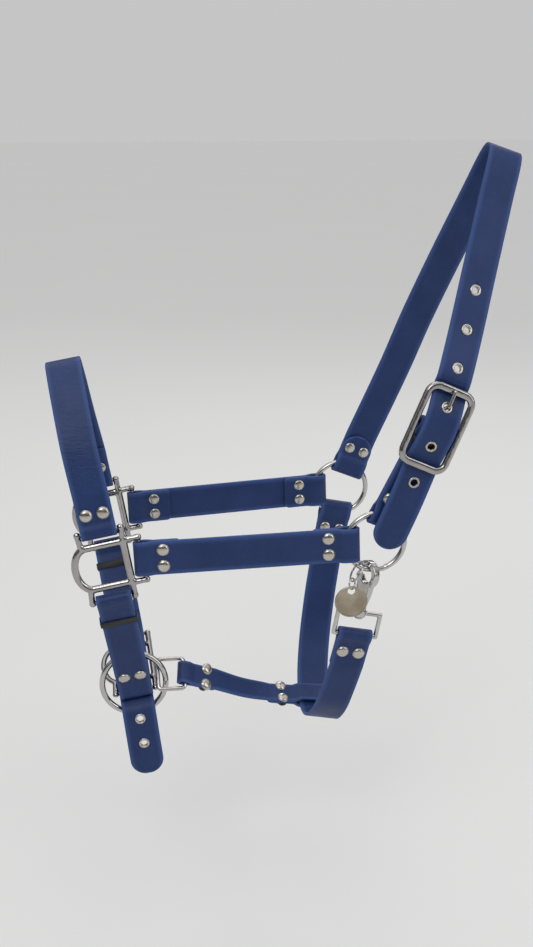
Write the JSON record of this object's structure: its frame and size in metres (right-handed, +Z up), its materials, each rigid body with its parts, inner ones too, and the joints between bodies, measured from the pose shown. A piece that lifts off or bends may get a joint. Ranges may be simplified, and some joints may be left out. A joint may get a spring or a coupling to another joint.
{
  "type": "head halter",
  "caption": "Head halter of folded and riveted straps on rings and cast squares, with a crown buckle, throat snap hook, lead ring and tag.",
  "frame": {"origin": "underside of the crown strap at its highest bend, where it rests on what holds it up", "axes": "+X from nose to poll, -Y the near side, +Z up"},
  "size_m": [0.3407, 0.1541, 0.4637],
  "materials": {
    "strap": "smooth coated, satin, fine crinkled grain",
    "casting": "polished plating",
    "ring": "polished welded wire",
    "snap": "polished die casting",
    "rivet": "nickel plated, lightly brushed",
    "eyelet": "nickelled brass, satin",
    "keeper": "black moulded rubber",
    "tag": "aged brushed"
  },
  "bodies": {
    "straps": {"buckle_keeper": "keeper", "buckle_strap": "strap", "buckle_strap_rivets": "rivet", "chin_eyelets": "eyelet", "chin_link_front_rivets": "rivet", "chin_link_rear_rivets": "rivet", "chin_link_strap": "strap", "chin_square": "casting", "crown_buckle_frame": "casting", "crown_eyelets": "eyelet", "crown_far_rivets": "rivet", "crown_strap": "strap", "far_cheek_front_rivets": "rivet", "far_cheek_rear_rivets": "rivet", "far_cheek_strap": "strap", "far_chin_rivets": "rivet", "far_chin_strap": "strap", "far_nose_rivets": "rivet", "far_square": "casting", "near_cheek_front_rivets": "rivet", "near_cheek_rear_rivets": "rivet", "near_cheek_strap": "strap", "near_chin_rivets": "rivet", "near_chin_strap": "strap", "near_nose_rivets": "rivet", "near_square": "casting", "nose_strap": "strap", "snap_swivel_loop": "snap", "throat_far_rivets": "rivet", "throat_near_rivets": "rivet", "throat_strap": "strap"},
    "near_cheek_ring": {"near_cheek_ring": "ring"},
    "far_cheek_ring": {"far_cheek_ring": "ring"},
    "lead_ring": {"lead_ring": "ring"},
    "chin_loop": {"chin_loop": "casting"},
    "crown_buckle_tongue": {"crown_buckle_tongue": "casting"},
    "near_chin_keeper": {"near_chin_keeper": "keeper"},
    "far_chin_keeper": {"far_chin_keeper": "keeper"},
    "snap_gate": {"snap_gate": "snap"},
    "tag_split_ring": {"tag_split_ring": "ring"},
    "tag_jump_ring": {"tag_jump_ring": "ring"},
    "tag_disc": {"tag_disc": "tag"},
    "snap_hook": {"snap_body": "snap", "snap_gate_pin": "snap"}
  },
  "joints": [
    {"name": "near_cheek_ring_spin", "type": "hinge", "parent": "straps", "child": "near_cheek_ring", "pos_m": [-0.101, -0.0655, -0.266], "axis": [0, 1, 0], "continuous": true},
    {"name": "far_cheek_ring_spin", "type": "hinge", "parent": "straps", "child": "far_cheek_ring", "pos_m": [-0.101, 0.0655, -0.266], "axis": [0, 1, 0], "continuous": true},
    {"name": "lead_ring_spin", "type": "hinge", "parent": "straps", "child": "lead_ring", "pos_m": [-0.2736, -0.0199, -0.3865], "axis": [0, 1, 0], "continuous": true},
    {"name": "chin_loop_swing", "type": "hinge", "parent": "straps", "child": "chin_loop", "pos_m": [-0.2356, -0.0199, -0.381], "axis": [0, 0.682, 0.7314], "range_deg": [-3, 3]},
    {"name": "buckle_tongue_lift", "type": "hinge", "parent": "straps", "child": "crown_buckle_tongue", "pos_m": [-0.06297, -0.0755, -0.18058], "axis": [0.9135, 0, -0.4067], "range_deg": [0, 1.5]},
    {"name": "near_chin_keeper_slide", "type": "slide", "parent": "straps", "child": "near_chin_keeper", "axis": [0.1454, 0.3702, -0.9175], "range_m": [-0.007, 0.045]},
    {"name": "far_chin_keeper_slide", "type": "slide", "parent": "straps", "child": "far_chin_keeper", "axis": [0.1425, -0.5077, -0.8497], "range_m": [-0.003, 0.006]},
    {"name": "snap_swivel", "type": "hinge", "parent": "straps", "child": "snap_hook", "pos_m": [-0.11148, -0.0655, -0.31989], "axis": [0.1908, 0, 0.9816], "range_deg": [-8, 3]},
    {"name": "snap_gate_open", "type": "hinge", "parent": "snap_hook", "child": "snap_gate", "pos_m": [-0.11046, -0.05979, -0.30073], "axis": [0.8897, 0.4226, -0.1729], "range_deg": [0, 20], "stiffness_Nm_per_rad": 0.02, "springref_deg": -17.19},
    {"name": "split_ring_swing", "type": "hinge", "parent": "straps", "child": "tag_split_ring", "pos_m": [-0.11213, -0.0655, -0.28381], "axis": [0.848, 0, -0.5299], "range_deg": [-30, 0]},
    {"name": "jump_ring_swing", "type": "hinge", "parent": "tag_split_ring", "child": "tag_jump_ring", "pos_m": [-0.11838, -0.07112, -0.29306], "axis": [-0.2679, 0.8929, -0.362], "range_deg": [-2, 15]},
    {"name": "tag_swing", "type": "hinge", "parent": "tag_jump_ring", "child": "tag_disc", "pos_m": [-0.11905, -0.07225, -0.2985], "axis": [0.6601, 0.7154, -0.2292], "range_deg": [-10, 10]}
  ]
}
